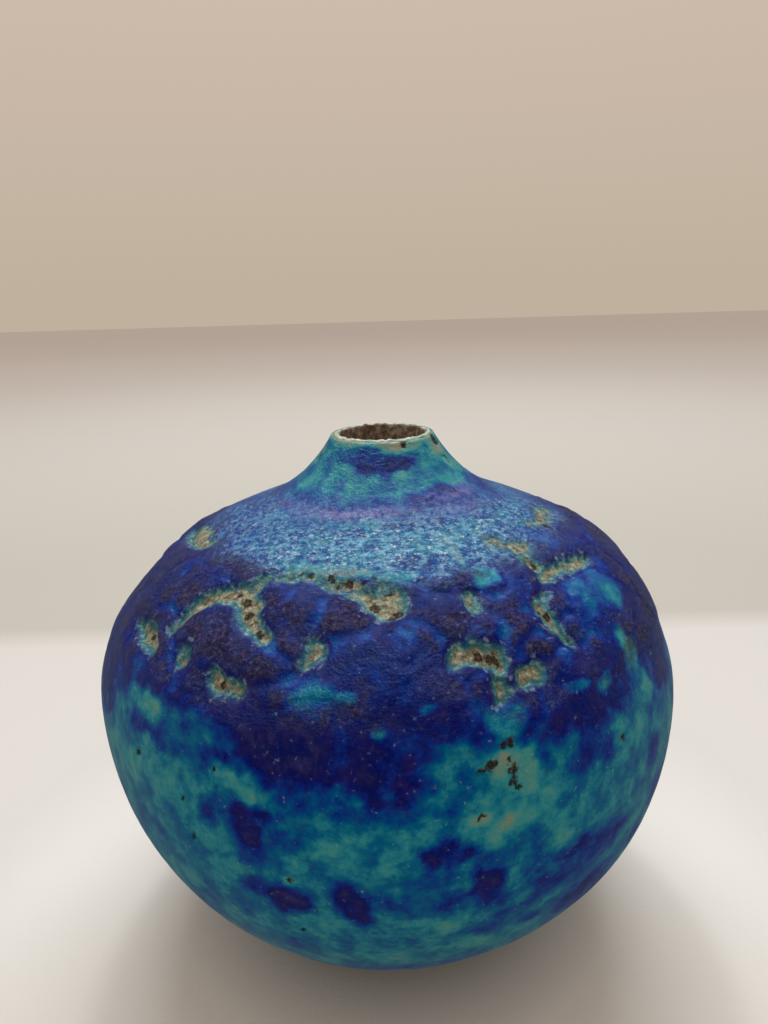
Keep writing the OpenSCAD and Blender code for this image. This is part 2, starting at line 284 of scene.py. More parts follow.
# ------------------------------------------------------------------ colour patches
# The glaze's colour runs along one scale, called shade:
# 0 tan, 0.15 celadon, 0.3 turquoise, 0.5 teal blue, 0.65 cobalt, 0.8 ultramarine, 1 violet.
# Each patch is (azimuth, run, half width, half height, shade), painted in this order.
PATCHES = [
    # the dark heart above the belly and the violet flanks
    (-12, 18, 24, 7.5, 0.84), (-6, 23, 22, 6, 0.82), (-20, 19, 12, 6, 0.88), (3, 14, 5, 5, 0.82),
    (-66, 18, 13, 11, 0.84), (-78, 30, 16, 14, 0.86), (34, 19, 11, 5, 0.82), (62, 22, 12, 12, 0.84),
    (-46, 13.5, 4, 2, 0.62), (-37, 13, 6, 2.5, 0.6), (33, 11, 6, 3, 0.66),
    # turquoise streaks and spots among them
    (-45, 17.5, 7, 2.5, 0.3), (-33, 17, 8, 3, 0.45), (49, 23, 2.6, 5, 0.28), (50.5, 16, 2.4, 3, 0.33),
    (-12, 25, 5, 3, 0.46), (-7, 26, 1.8, 1.2, 0.36), (-2, 20.5, 1.2, 0.8, 0.4), (6, 24, 2, 1, 0.46),
    (33, 22.4, 3, 1.1, 0.44), (39, 21.2, 2.4, 1.6, 0.42), (18, 21, 4, 3.5, 0.36),
    # the turquoise belly with its purple and blue patches
    (-20, -2, 5, 3.5, 0.6), (-27, 4, 4, 5, 0.58), (-16, 1, 3, 2, 0.7), (-22.5, 3, 3.8, 4.6, 0.85),
    (-21, -9.5, 3, 2, 0.66), (-18, -12, 5.5, 4.6, 0.64), (-17.5, -13, 3.6, 3.2, 0.86),
    (-5, -9, 5, 4, 0.64), (1, -12, 6, 2.5, 0.6), (-6.5, -13, 3.8, 4.6, 0.85),
    (5, -4, 6, 4, 0.58), (8, -1, 4, 3, 0.83), (11, -12, 8, 3.5, 0.62), (3, -8, 3, 3, 0.6),
    (13.5, -8.5, 4, 4.4, 0.84), (22, -6, 3, 4, 0.62),
    (34, -8, 9, 3.5, 0.76), (28, -13, 8, 4, 0.64), (36, -23, 8, 6, 0.74), (20, -20, 8, 4, 0.58),
    (51, 2, 3, 3.4, 0.7), (55, -9, 4, 3, 0.7), (49, -16, 3.4, 3, 0.74), (60, -18, 5, 3, 0.62),
    (2, -38, 14, 4, 0.6), (14, -44, 20, 3, 0.66),
    (-12, 8, 7, 2.4, 0.58), (-2, 7, 6, 2.2, 0.6), (8, 9, 5, 4, 0.44), (10, 14, 7, 4, 0.44),
    (42, 8, 5, 4, 0.32), (40, 0, 9, 5, 0.38), (-50, 2, 14, 7, 0.31), (-38, 8, 9, 3, 0.33),
    (-26, 10.5, 3, 2, 0.28), (-22.5, 8.5, 2.2, 1.6, 0.22), (-8, 2, 6, 4, 0.3), (0, -3, 4, 2.5, 0.32),
    (-13, -17, 8, 3, 0.32), (4, -19, 8, 3, 0.27), (0, -28, 16, 5, 0.36), (-25, -25, 16, 8, 0.38),
    # tan patches, where the coat is thinnest
    (18.5, 13, 4.8, 4.6, 0.2), (17, 9, 4.4, 2.8, 0.21), (12, 5.2, 2.4, 1.3, 0.12),
    (19, 4, 4, 2.2, 0.2), (-16, -7, 1.8, 1.0, 0.08), (24, 6.2, 2.2, 1.4, 0.2),
    # the pale blue sheet on the front of the shoulder
    (-10, 58, 26, 8, 0.42), (12, 60, 14, 6, 0.44), (-32, 58, 12, 7, 0.52), (18, 57, 6, 2.2, 0.26),
    (33, 60, 7, 2, 0.36), (-8, 66.5, 8, 1.1, 0.74), (12, 63, 8, 1.6, 0.7), (-15, 61.5, 4, 1.3, 0.62),
    (8, 53, 7, 2.6, 0.74), (22, 54, 1.1, 5, 0.12), (26, 47, 2.5, 2.5, 0.36), (5, 48, 6, 2, 0.7),
    (52, 37, 7, 5, 0.5), (56, 33, 4, 2.2, 0.42), (46, 36, 5, 3, 0.55), (70, 60, 12, 2, 0.5),
    (62, 56, 5, 1.5, 0.5), (-62, 67.5, 6, 1, 0.5), (-80, 66, 12, 1.5, 0.76),
    # the neck
    (-20, 80.5, 6, 2.2, 0.6), (-4, 79.5, 5, 3, 0.66), (-14, 78.5, 2, 1.4, 0.78), (16, 79.5, 3, 1.8, 0.82),
    (34, 70.5, 7, 2, 0.78), (8, 74, 5, 1.6, 0.5), (40, 76.5, 3.5, 1.6, 0.46), (12, 76.5, 1.6, 1, 0.24),
    (66, 80, 4, 3.6, 0.14), (78, 76, 3, 2, 0.2), (-79, 79, 1.2, 2.6, 0.1), (14, 83, 3, 1.2, 0.12),
    (20, 83, 4, 1.3, 0.1), (-16, 51, 9, 1.6, 0.16), (-26, 50.5, 4, 1.6, 0.18), (2, 50, 5, 1.6, 0.22),
    # the back
    (-105, 9, 6, 6, 0.7), (-146, 14, 7, 7, 0.36), (-132, 25, 3, 4, 0.42), (172, 12, 6, 7, 0.62),
    (160, 26, 3.4, 3, 0.4), (142, 12, 5, 5, 0.33), (118, 10, 7, 5, 0.66), (98, 27, 3, 4, 0.4),
    (-125, -3, 9, 4, 0.56), (-150, -14, 9, 4, 0.6), (162, -4, 7, 4, 0.52), (126, -13, 7, 5, 0.55),
    (92, -2, 8, 4, 0.55), (-92, -18, 9, 5, 0.58), (178, -26, 12, 4, 0.6), (150, -30, 10, 4, 0.58),
    (-130, 2, 4, 3, 0.16), (105, 3, 4, 3, 0.15), (-108, -12, 3, 2, 0.14), (155, 4, 3, 2.4, 0.13),
    (-120, 16, 14, 7, 0.88), (-165, 19, 20, 7, 0.9), (150, 17, 16, 6, 0.86), (108, 20, 12, 8, 0.84),
    (-140, 8, 6, 4, 0.6), (130, 8, 7, 4, 0.62), (-100, -6, 6, 4, 0.86), (-135, -10, 4, 5, 0.84),
    (-158, -4, 5, 3, 0.9), (172, -12, 6, 4, 0.64), (140, -8, 4, 4, 0.88), (115, -2, 5, 3, 0.82),
    (95, -14, 8, 5, 0.64), (-172, 6, 5, 4, 0.12), (120, -22, 9, 5, 0.7), (-118, -24, 10, 5, 0.62),
    (-145, 60, 14, 5, 0.44), (165, 58, 16, 5, 0.46), (120, 61, 10, 4, 0.5), (-110, 62, 9, 3, 0.55),
    (180, 80, 3, 2, 0.86), (130, 78, 4, 2, 0.7), (-120, 78, 4, 2.4, 0.24),
]
# More or less of the matt violet: (azimuth, run, half width, half height, change)
ISLANDS = [
    (-34, 33, 10, 4, 0.8), (-18, 35, 4, 5, 0.8), (-9, 40, 5, 3.5, 0.9), (-26, 42, 4, 3, 0.5),
    (8, 38, 9, 4, 0.7), (11, 27.5, 5, 2.6, 0.6), (28, 31, 4, 4, 0.8), (27, 37, 4, 3, 0.5),
    (38, 37.5, 3, 2, 0.5), (39, 31, 2.4, 2.4, 0.4), (-54, 36, 7, 4, 0.5), (-41, 47, 5, 2.4, 0.6),
    (-20, 45, 4, 2.5, -0.6), (-3, 31, 7, 3, -0.8), (-10, 29, 7, 3.5, -1), (3, 25, 7, 3, -1),
    (38, 25, 8, 3, -0.6), (24, 42, 4, 3, -0.4), (52, 36, 9, 6, -1), (12, 43, 6, 3, -0.3),
]
# Rust brown pits: (azimuth, run, radius)
PITS = [
    (18, 17.2, 0.9), (16.5, 16.8, 0.5), (14.6, 14.2, 1.0), (13.2, 13.4, 0.6), (17.6, 14.4, 0.5),
    (18.6, 12.6, 0.8), (18.4, 10.2, 0.9), (19, 8.9, 0.5), (12.8, 5.2, 0.6), (25.2, 5.4, 0.4),
    (40.8, 10.1, 0.7), (-46, 7.6, 0.7), (-34, 3.6, 0.3), (-33, -3.8, 0.8), (-16, -7, 0.6),
    (-15.5, -20.6, 0.5), (-28.5, 11.3, 0.5), (66, 51.8, 1.0), (-10, 48.4, 0.9), (-5.5, 48.8, 0.6),
    (-21, 49.2, 0.6), (-15, 49.6, 0.7), (-13, 48, 0.5), (-3, 49.6, 0.6), (-24, 49.4, 0.5),
    (0.2, 46.6, 0.9), (-2.4, 43.2, 1.0), (2.2, 41.6, 0.9), (0.6, 40.6, 0.7), (-38, 41.8, 0.8),
    (-34, 41.2, 0.9), (-31.4, 38.8, 1.0), (-26.8, 36, 0.8), (-54.6, 27, 0.9), (-30, 25.4, 0.8),
    (16.2, 31.8, 0.9), (18.6, 30.8, 1.1), (19.8, 29.4, 0.7), (34.4, 35.4, 1.0), (33.4, 37, 0.6),
    (42.8, 46.5, 0.7), (67, 77.6, 1.2), (72, 82.4, 1.4), (-79, 78.6, 0.9), (22, 83.2, 0.7),
    (-104, 36, 0.9), (-127, 46.5, 0.8), (-152, 30.6, 0.9), (-177, 43, 1.0), (177, 47, 0.8),
    (151, 37.4, 0.9), (129, 48.4, 0.8), (110, 38, 1.0), (-172, 6.4, 0.9), (-170, 4.4, 0.6),
    (-131, 2.6, 0.6), (-128, 0.8, 0.8), (106, 3.4, 0.7), (103, 1.6, 0.5), (-108, -12, 0.6),
    (155, 4.4, 0.7), (140, -20, 0.6), (-150, -26, 0.6), (95, -24, 0.5),
]


# The values that the coats' meshes carry for their material
GLAZE_VALUES = ("shade", "pit", "gap", "island", "grain_and_glint", "blush")


def spot_share(azimuth, run, spot_azimuth, spot_run, half_w, half_h):
    """1 at the heart of a spot, falling to 0 about one and a half sizes away."""
    turn = (azimuth - spot_azimuth + 180) % 360 - 180
    across = np.radians(turn) * np.interp(run, RUN, LINE[:, 0])
    return np.exp(-0.7 * ((across / half_w) ** 2 + ((run - spot_run) / half_h) ** 2))


def island_band(run):
    """1 where the cobalt lies thick enough to crawl into islands."""
    return between(run, 18, 26) * (1 - between(run, 46, 54))


def cobalt_cover(p, azimuth, run):
    """Over 0 where cobalt lies: between a ragged lower edge and the neck."""
    ragged = 5.0 * patch_noise(p, 17, 3)
    ragged = ragged + 4 * between(np.abs(azimuth), 80, 110) * patch_noise(p + 400, 11, 3)
    low_edge = 12 + 6 * between(np.abs(azimuth + 5), 25, 60)
    low_edge = low_edge - 5 * between(np.abs(azimuth), 60, 80)
    return np.minimum((run - low_edge - ragged) / 7, (73 + 0.4 * ragged - run) / 5)


def pit_share(p, azimuth, run, gap, warp):
    """1 inside the rust pits and the crumbs on the gaps' floor."""
    pit = np.zeros_like(run)
    sway, heave = azimuth + 1.2 * warp[..., 0], run + warp[..., 1]
    for pit_azimuth, pit_run, size in PITS:
        share = spot_share(sway, heave, pit_azimuth, pit_run, size, size)
        pit = np.maximum(pit, between(share, 0.25, 0.75))
    crumbs = between(pit_noise(p, 1.5, 2), 0.34, 0.6) * between(-gap, 0.3, 1.2)
    return np.maximum(pit, crumbs)


def glaze_fields(azimuth, run):
    """Everything that the coats' shapes and colours depend on, at places on the wall."""
    p = wall(azimuth, run)
    warp = np.stack([warp_noise(p + 50 * i, 5.5, 3) for i in range(3)], -1)
    gap = line_distance(p + 1.0 * warp, GAPS) + 0.5 * fine_noise(p, 2.2, 3)
    gap = gap + 1.8 * between(run, 46, 49) * fine_noise(p + 35, 1.8, 2)
    crease = line_distance(p + 1.0 * warp, CREASES)
    cover = cobalt_cover(p, azimuth, run)
    # border is 0 on the valleys between islands
    border = np.minimum(lump_noise.cells(p + 1.5 * warp, 13) + 0.08, 0.22 + 0 * run)
    border = np.minimum(border, np.clip(crease, 0, 9) / 9 + 0.02)
    shade, top = base_shade(p, azimuth, run, gap, border, cover)
    return {
        "p": p,
        "gap": gap,
        "cover": cover,
        "border": border,
        "shade": paint(shade, p, azimuth, run),
        "pit": pit_share(p, azimuth, run, gap, warp),
        "island": island_share(top, p, azimuth, run),
        "grain_and_glint": grain_and_glint_share(p, azimuth, run),
        "blush": blush_share(p, azimuth, run),
    }


def grain_and_glint_share(p, azimuth, run):
    """Where the shoulder's coat is thin and broken into fine grains, and where a painted sheen and
    painted glints lie on it.
    """
    sway = 4 * patch_noise(p + 250, 8, 4)
    band = between(run + sway, 45, 54) * (1 - between(run + sway, 60, 72))
    # strongest on the front, where the painted sheen and painted glints lie
    front = spot_share(azimuth, run, -8, 56, 22, 10) + 0.4 * spot_share(azimuth, run, 30, 57, 14, 5)
    return np.clip(band * (0.3 + 0.8 * front + 0.5 * patch_noise(p + 210, 9, 4)), 0, 1)


# Level streaks of lilac: (azimuth, run, half width, half height, strength)
STREAKS = [(-14, 66.6, 9, 1.2, 1.0), (46, 70, 7, 1.4, 0.6), (34, 66, 8, 1.4, 0.6), (-42, 66, 8, 1.4, 0.6)]


def blush_share(p, azimuth, run):
    """The lilac streaks round the top of the shoulder."""
    run = run + 1.2 * patch_noise(p + 330, 6, 3)
    return np.max([strength * spot_share(azimuth, run, *spot) for *spot, strength in STREAKS], axis=0)


def base_shade(p, azimuth, run, gap, border, cover):
    """The shade before any patch is painted, and 1 on top of the thick islands."""
    turquoise = 0.37 + 0.12 * patch_noise(p, 10, 5)
    neck = 0.375 + 0.12 * patch_noise(p + 90, 8, 4)
    shoulder = 0.67 + 0.15 * patch_noise(p + 40, 8, 5)
    shade = turquoise + (shoulder - turquoise) * between(cover, -0.15, 0.6)
    shade = shade + (neck - shade) * between(run, 67, 74)
    # thick islands are darker blue
    top = between(gap, 0.5, 2.6) * between(border, 0.03, 0.2) * island_band(run)
    return shade + 0.14 * top, top


def island_share(top, p, azimuth, run):
    """Where the islands turn a matt brownish violet on top."""
    island = top * between(patch_noise(p + 70, 8, 4), -0.35, 0.3)
    ragged = 0.3 * patch_noise(p, 4, 4)
    for *spot, change in ISLANDS:
        share = spot_share(azimuth, run, *spot)
        island = island + change * between(share + ragged, 0.25, 0.7) * top
    return np.clip(island, 0, 1)


def paint(shade, p, azimuth, run):
    """The shade with the ragged patches laid on it, and the lip's own tone."""
    ragged = patch_noise(p + 20, 4.5, 5)
    sway = np.degrees(1.8 * patch_noise(p + 130, 5, 4) / 60)
    heave = 1.6 * patch_noise(p + 170, 5, 4)
    for *spot, target in PATCHES:
        size = min(*spot[2:], 3) / 2
        share = spot_share(azimuth + size * sway, run + size * heave, *spot)
        touched = share > 0.03
        weight = between(share[touched] + 0.35 * ragged[touched], 0.22, 0.78)
        shade[touched] += weight * (target + 0.14 * ragged[touched] - shade[touched])
    # the belly's blotches are softer than the shoulder's
    calm = 0.3 * (1 - between(run, 2, 12)) * (1 - between(shade, 0.7, 0.85))
    shade = shade + calm * (0.41 - shade)
    # the coat breaks to celadon on the lip
    lip = between(run + 0.7 * patch_noise(p, 4, 3), LIP_RUN - 1.7, LIP_RUN - 0.2)
    return shade + lip * (0.08 - shade)


# ------------------------------------------------------------------ the coats' surfaces
# Thickness of each coat
COBALT_T, TURQUOISE_T, PALE_T = 1.15, 0.5, 0.5
# How far a coat dips under the next one where it has crawled away, so that the two never meet
HIDE = 0.22
# Share of the coats' thickness that is left at the lip
LIP_THIN = 0.5
# How far a coat's inner surface lies inside the coat below
OVERLAP = 0.3


# Swells and flats of the wall: (azimuth, run, half width, half height, how far it stands out)
SWELLS = [(-88, 8, 30, 9, 0.9), (-84, 28, 20, 8, -1.6), (-80, -35, 26, 20, -0.8), (80, 19, 22, 9, -1.3)]


def lumps(p, azimuth, run):
    """The slow unevenness of a hand-thrown wall."""
    uneven = 0.5 * lump_noise(p, 34, 2) * (1 - between(run, 66, 78))
    for *spot, rise in SWELLS:
        uneven = uneven + rise * spot_share(azimuth, run, *spot)
    return uneven


def coat_heights(f, azimuth, run):
    """Height of each coat's outer surface over the outline."""
    p, gap = f["p"], f["gap"]
    peel = 0.05 * fine_noise(p, 2.6, 2)
    grain = 0.11 * fine_noise(p + 60, 3.4, 3)
    # the cobalt is thin above the islands, and the clay under it stands back by its thickness
    thinned = 0.85 * between(run + 0.04 * np.abs(azimuth), 46.5, 51)
    covered = between(f["cover"], 0, 1) * (1 - thinned)
    under = lumps(p, azimuth, run) - COBALT_T * covered
    # it rises from a gap's edge as a round pillow, highest where no gap is near
    x = np.clip(gap / 2.2, 0, 1)
    pillow = np.sqrt(1 - (1 - x) ** 2) * between(gap, -0.2, 0.7) * covered
    swell = 1 + 0.5 * between(gap, 1.5, 6) * covered
    valley = 0.6 * (1 - between(f["border"], 0.0, 0.2)) * island_band(run) * pillow
    hide = HIDE * (1 - np.clip(pillow / np.maximum(covered, 0.01), 0, 1))
    ends = 0.4 * (1 - between(f["cover"], 0, 0.12))
    cobalt = under + COBALT_T * pillow * swell - valley - hide - ends + 0.06 + grain * covered + peel
    # the turquoise opens on the pale coat in the widest gaps
    window = between(-gap, 0.2, 1.5)
    turquoise = under + peel - window * (TURQUOISE_T + HIDE)
    thin = 1 - (1 - LIP_THIN) * between(run, 70, LIP_RUN)
    pale = under - TURQUOISE_T * thin + 0.1 * fine_noise(p + 30, 2.0, 3)
    hole = 0.4 * f["pit"]
    return {"cobalt": cobalt, "turquoise": turquoise - hole, "pale": pale - hole, "under": under}


def spread(*stretches):
    """Row places from (from, to, step) stretches."""
    rows = [np.linspace(a, b, max(2, round((b - a) / step) + 1))[:-1] for a, b, step in stretches]
    return np.concatenate(rows + [[stretches[-1][1]]])


NO_TRIS = np.zeros((0, 3), int)


def add_mesh(name, points, quads, tris, values):
    """A mesh object from points in millimetres, faces, and named values per point."""
    mesh = bpy.data.meshes.new(name)
    mesh.vertices.add(len(points))
    mesh.vertices.foreach_set("co", (points * MM).astype(np.float32).ravel())
    corners = np.concatenate([quads.ravel(), tris.ravel()]).astype(np.int32)
    sizes = np.concatenate([np.full(len(quads), 4), np.full(len(tris), 3)])
    starts = np.concatenate([[0], np.cumsum(sizes)[:-1]]).astype(np.int32)
    mesh.loops.add(len(corners))
    mesh.loops.foreach_set("vertex_index", corners)
    mesh.polygons.add(len(sizes))
    mesh.polygons.foreach_set("loop_start", starts)
    mesh.update(calc_edges=True)
    mesh.validate()
    mesh.polygons.foreach_set("use_smooth", np.ones(len(mesh.polygons), bool))
    for key, data in values.items():
        layer = mesh.attributes.new(key, "FLOAT", "POINT")
        layer.data.foreach_set("value", data.astype(np.float32).ravel())
    piece = bpy.data.objects.new(name, mesh)
    bpy.context.scene.collection.objects.link(piece)
    return piece


# Vertices round a coat's outer surface; its inner surface has one for every INNER_STEP of them
COLUMNS = 512
INNER_STEP = 8


def grid(rows):
    """Azimuth and run of every vertex of a coat's outer surface."""
    azimuths = -180 + 360 * np.arange(COLUMNS) / COLUMNS
    return np.meshgrid(azimuths, rows)


def quad_corners(i, j, below, after, columns):
    """Corners of the quads between rows i and below and columns j and after."""
    corners = (i * columns + j, i * columns + after, below * columns + after, below * columns + j)
    return np.stack(corners, -1).reshape(-1, 4)


def ring_quads(rows, columns, first, flip):
    """Quads of a closed band of rows by columns vertices, numbered from first."""
    i, j = np.meshgrid(np.arange(rows - 1), np.arange(columns), indexing="ij")
    quads = quad_corners(i, j, i + 1, (j + 1) % columns, columns) + first
    return quads[:, ::-1] if flip else quads


def rim_tris(fine_first, coarse_first, columns, step, flip):
    """Triangles that join a fine ring of vertices to one with a step-th as many."""
    tris = []
    coarse = columns // step
    for j in range(coarse):
        a, b = coarse_first + j, coarse_first + (j + 1) % coarse
        for i in range(step):
            here, there = fine_first + j * step + i, fine_first + (j * step + i + 1) % columns
            tris.append((here, there, a if i < step // 2 else b))
        middle = fine_first + j * step + step // 2
        tris.append((middle, b, a))
    tris = np.array(tris)
    return tris[:, ::-1] if flip else tris


def coat_shell(name, rows, outer, inner, values):
    """A closed coat: a fine outer surface, a coarse inner one, and a rim at each end."""
    azimuth, run = grid(rows)
    pick = np.unique(np.concatenate([np.arange(0, len(rows), INNER_STEP), [len(rows) - 1]]))
    coarse = (pick[:, None], np.arange(0, COLUMNS, INNER_STEP)[None, :])
    outside = wall(azimuth, run, outer).reshape(-1, 3)
    inside = wall(azimuth[coarse], run[coarse], inner[coarse]).reshape(-1, 3)
    count, coarse_columns = len(outside), COLUMNS // INNER_STEP
    top_fine, top_coarse = (len(rows) - 1) * COLUMNS, count + (len(pick) - 1) * coarse_columns
    quads = np.concatenate([
        ring_quads(len(rows), COLUMNS, 0, False),
        ring_quads(len(pick), coarse_columns, count, True),
    ])
    tris = np.concatenate([
        rim_tris(0, count, COLUMNS, INNER_STEP, True),
        rim_tris(top_fine, top_coarse, COLUMNS, INNER_STEP, False),
    ])
    points = np.concatenate([outside, inside])
    values = {k: np.concatenate([v.ravel(), v[coarse].ravel()]) for k, v in values.items()}
    return add_mesh(name, points, quads, tris, values)


def make_coats():
    """The three outer coats, with rows close together where there is detail to show."""
    made = {}
    lip_low = LIP_RUN - 3
    plans = {
        "cobalt": spread((-2, 12, 1.4), (12, 66, 0.62), (66, 79, 0.9)),
        "turquoise": spread((FOOT_RUN, -45, 1.5), (-45, 16, 0.95), (16, 66, 0.8), (66, LIP_RUN, 0.62)),
        "pale": spread((FOOT_RUN, 16, 4.0), (16, 58, 0.62), (58, lip_low, 1.6), (lip_low, LIP_RUN, 0.75)),
    }
    inner_depth = {"cobalt": 0.0, "turquoise": TURQUOISE_T, "pale": TURQUOISE_T + PALE_T}
    for key, rows in plans.items():
        azimuth, run = grid(rows)
        f = glaze_fields(azimuth, run)
        heights = coat_heights(f, azimuth, run)
        inner = heights["under"] - inner_depth[key] - OVERLAP
        values = {value: f[value] for value in GLAZE_VALUES}
        made[key] = coat_shell(key + "_coat", rows, heights[key], inner, values)
    return made


# ------------------------------------------------------------------ the clay pieces
def lathe(name, line, columns, height):
    """A closed ring: line is its cross-section, and height(points) raises its surface."""
    line = np.array(line, float)
    ahead = np.roll(line, -1, 0) - np.roll(line, 1, 0)
    normal = np.stack([ahead[:, 1], -ahead[:, 0]], 1)
    normal /= np.linalg.norm(normal, axis=1, keepdims=True)
    turn = 2 * np.pi * np.arange(columns) / columns

    def spun(section):
        r, z = section[:, 0][:, None], section[:, 1][:, None]
        return np.stack([r * np.sin(turn), -r * np.cos(turn), z + 0 * turn], -1)

    points, outward = spun(line), spun(line + normal) - spun(line)
    points = points + outward * height(points)[..., None]
    rows = len(line)
    i, j = np.meshgrid(np.arange(rows), np.arange(columns), indexing="ij")
    quads = quad_corners(i, j, (i + 1) % rows, (j + 1) % columns, columns)
    values = {"reach": np.hypot(points[..., 0], points[..., 1])}
    return add_mesh(name, points.reshape(-1, 3), quads, NO_TRIS, values)


def along(points, step):
    """A closed line through points with extra points no further apart than step."""
    filled = []
    for a, b in zip(points, points[1:] + points[:1]):
        count = max(1, math.ceil(math.dist(a, b) / step))
        across, up = b[0] - a[0], b[1] - a[1]
        filled += [(a[0] + across * i / count, a[1] + up * i / count) for i in range(count)]
    return filled


def make_collar():
    """The neck and lip: bare, gritty clay in the throat, under the glaze outside."""
    box_low, box_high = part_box("neck_collar")
    low, flange_r = box_low.z / MM, box_high.x / MM
    root_r = flange_r - 5
    # the outside lies under the coats, which thin out towards the lip
    runs = np.linspace(69, LIP_RUN, 26)
    outside = wall(np.zeros_like(runs), runs, -1.45 + 0.75 * between(runs, 72, LIP_RUN))
    outer = [(-y, z) for x, y, z in outside]
    lip_r, lip_z = outer[-1]
    round_r = (lip_r - MOUTH_R) / 2
    middle = MOUTH_R + round_r
    turns = np.radians(np.arange(20, 180, 20))
    lip = [(middle + round_r * math.cos(a), lip_z + round_r * math.sin(a)) for a in turns]
    throat = [
        (MOUTH_R, lip_z), (MOUTH_R, low + 14.5), (MOUTH_R + 2.2, low + 11.5), (MOUTH_R + 7, low + 6),
    ]
    root = [(root_r, low), (root_r, low + 1.8), (flange_r - 0.6, low + 2.0)]
    line = along(root + outer + lip + throat, 0.7)

    def grit(p):
        inside = between(11.6 - np.hypot(p[..., 0], p[..., 1]), 0, 1.2)
        coarse = np.maximum(fine_noise(p, 1.5, 3), -0.2)
        return inside * (0.38 * coarse + 0.12 * fine_noise(p + 9, 0.9, 2))

    return lathe("collar_clay", line, 256, grit)


def make_body():
    """The thrown body: the CAD body's mesh, its outside following the wall's unevenness."""
    body = frame["nodes"]["clay_body"]
    mesh = body.data.copy()
    points = np.empty(len(mesh.vertices) * 3, np.float32)
    mesh.vertices.foreach_get("co", points)
    points = points.reshape(-1, 3) / MM
    radius = np.hypot(points[:, 0], points[:, 1])
    azimuth = np.degrees(np.arctan2(points[:, 0], -points[:, 1]))
    line = LINE[::6]
    near = np.hypot(radius[:, None] - line[:, 0], points[:, 2, None] - line[:, 1])
    run = RUN[::6][near.argmin(1)]
    # only the outside moves, and only inward, so that it stays under the coats
    outside = 1 - between(near.min(1), 2.2, 3.2)
    sink = np.minimum(lumps(points, azimuth, run), 0) - 0.35
    inward = (sink * outside)[:, None] * MM
    turn = np.radians(azimuth)
    slope_r, slope_z = (np.interp(run, RUN, NORMAL[:, k]) for k in (0, 1))
    outward = np.stack([slope_r * np.sin(turn), -slope_r * np.cos(turn), slope_z], 1)
    mesh.vertices.foreach_set("co", (points * MM + outward * inward).astype(np.float32).ravel())
    piece = bpy.data.objects.new("body_clay", mesh)
    piece.matrix_world = body.matrix_world
    bpy.context.scene.collection.objects.link(piece)
    return piece


def make_foot():
    """The turned ring of bare clay that the vase stands on."""
    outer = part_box("foot_ring")[1].x / MM
    width, ring_h = 7.0, 3.0
    inner = outer - width
    # its resting face stays a hair above the table
    rest = 0.02
    line = [
        (inner + 0.9, rest), (outer - 1.0, rest), (outer - 0.3, 0.3), (outer, 0.9),
        (outer, ring_h + 0.4), (inner, ring_h + 0.2), (inner, 0.9), (inner + 0.3, 0.3),
    ]

    def turned(p):
        off_floor = between(p[..., 2], 0.1, 0.8)
        return off_floor * (0.12 * fine_noise(p, 2.2, 3) + 0.05 * np.sin(p[..., 2] * 5))

    return lathe("foot_clay", along(line, 0.6), 288, turned)


# ------------------------------------------------------------------ materials
def linear(display):
    """A linear light value from an 8-bit display value."""
    share = display / 255
    return share / 12.92 if display < 10.3 else ((share + 0.055) / 1.055) ** 2.4


def rgb(red, green, blue):
    """A node colour from 8-bit display values."""
    return (linear(red), linear(green), linear(blue), 1)


class Nodes:
    """A short way to write a node tree."""

    def __init__(self, tree, place):
        self.tree = tree
        self.where = tree.nodes.new("ShaderNodeTexCoord").outputs[place]

    def node(self, kind, inputs=None, **settings):
        made = self.tree.nodes.new("ShaderNode" + kind)
        for key, value in settings.items():
            setattr(made, key, value)
        for key, value in (inputs or {}).items():
            self.put(value, made.inputs[key])
        return made

    def put(self, value, socket):
        if isinstance(value, bpy.types.NodeSocket):
            self.tree.links.new(value, socket)
        else:
            socket.default_value = value

    def attribute(self, name):
        return self.node("Attribute", attribute_name=name).outputs["Fac"]

    def math(self, operation, a, b=0.0, clamp=False):
        return self.node("Math", {0: a, 1: b}, operation=operation, use_clamp=clamp).outputs[0]

    def times(self, a, b):
        return self.math("MULTIPLY", a, b)

    def plus(self, a, b):
        return self.math("ADD", a, b)

    def noise(self, size, detail=3.0, roughness=0.55, where=None):
        """Noise with features of about that many millimetres."""
        inputs = {"Scale": 1 / (size * MM), "Detail": detail, "Roughness": roughness}
        inputs["Vector"] = where or self.where
        return self.node("TexNoise", inputs).outputs["Fac"]

    def flattened(self, times):
        """Object places with the height drawn out, so that noise there makes level streaks."""
        inputs = {0: self.where, 1: (1.0, 1.0, times)}
        return self.node("VectorMath", inputs, operation="MULTIPLY").outputs["Vector"]

    def cells(self, size, feature="F1"):
        inputs = {"Vector": self.where, "Scale": 1 / (size * MM)}
        return self.node("TexVoronoi", inputs, feature=feature).outputs["Distance"]

    def ramp(self, value, stops):
        made = self.node("ValToRGB", {"Fac": value})
        band = made.color_ramp
        while len(band.elements) < len(stops):
            band.elements.new(1)
        for element, (place, colour) in zip(band.elements, stops):
            element.position = place
            element.color = colour
        return made.outputs["Color"]

    def grade(self, value, low, high, to_low=0.0, to_high=1.0):
        inputs = {"Value": value, "From Min": low, "From Max": high}
        inputs.update({"To Min": to_low, "To Max": to_high})
        return self.node("MapRange", inputs, clamp=True).outputs["Result"]

    def mix(self, share, a, b):
        made = self.node("Mix", data_type="RGBA")
        self.put(share, made.inputs["Factor"])
        self.put(a, made.inputs[6])
        self.put(b, made.inputs[7])
        return made.outputs[2]

    def bump(self, height, distance, strength=1.0, below=None):
        inputs = {"Height": height, "Distance": distance * MM, "Strength": strength}
        if below is not None:
            inputs["Normal"] = below
        return self.node("Bump", inputs).outputs["Normal"]


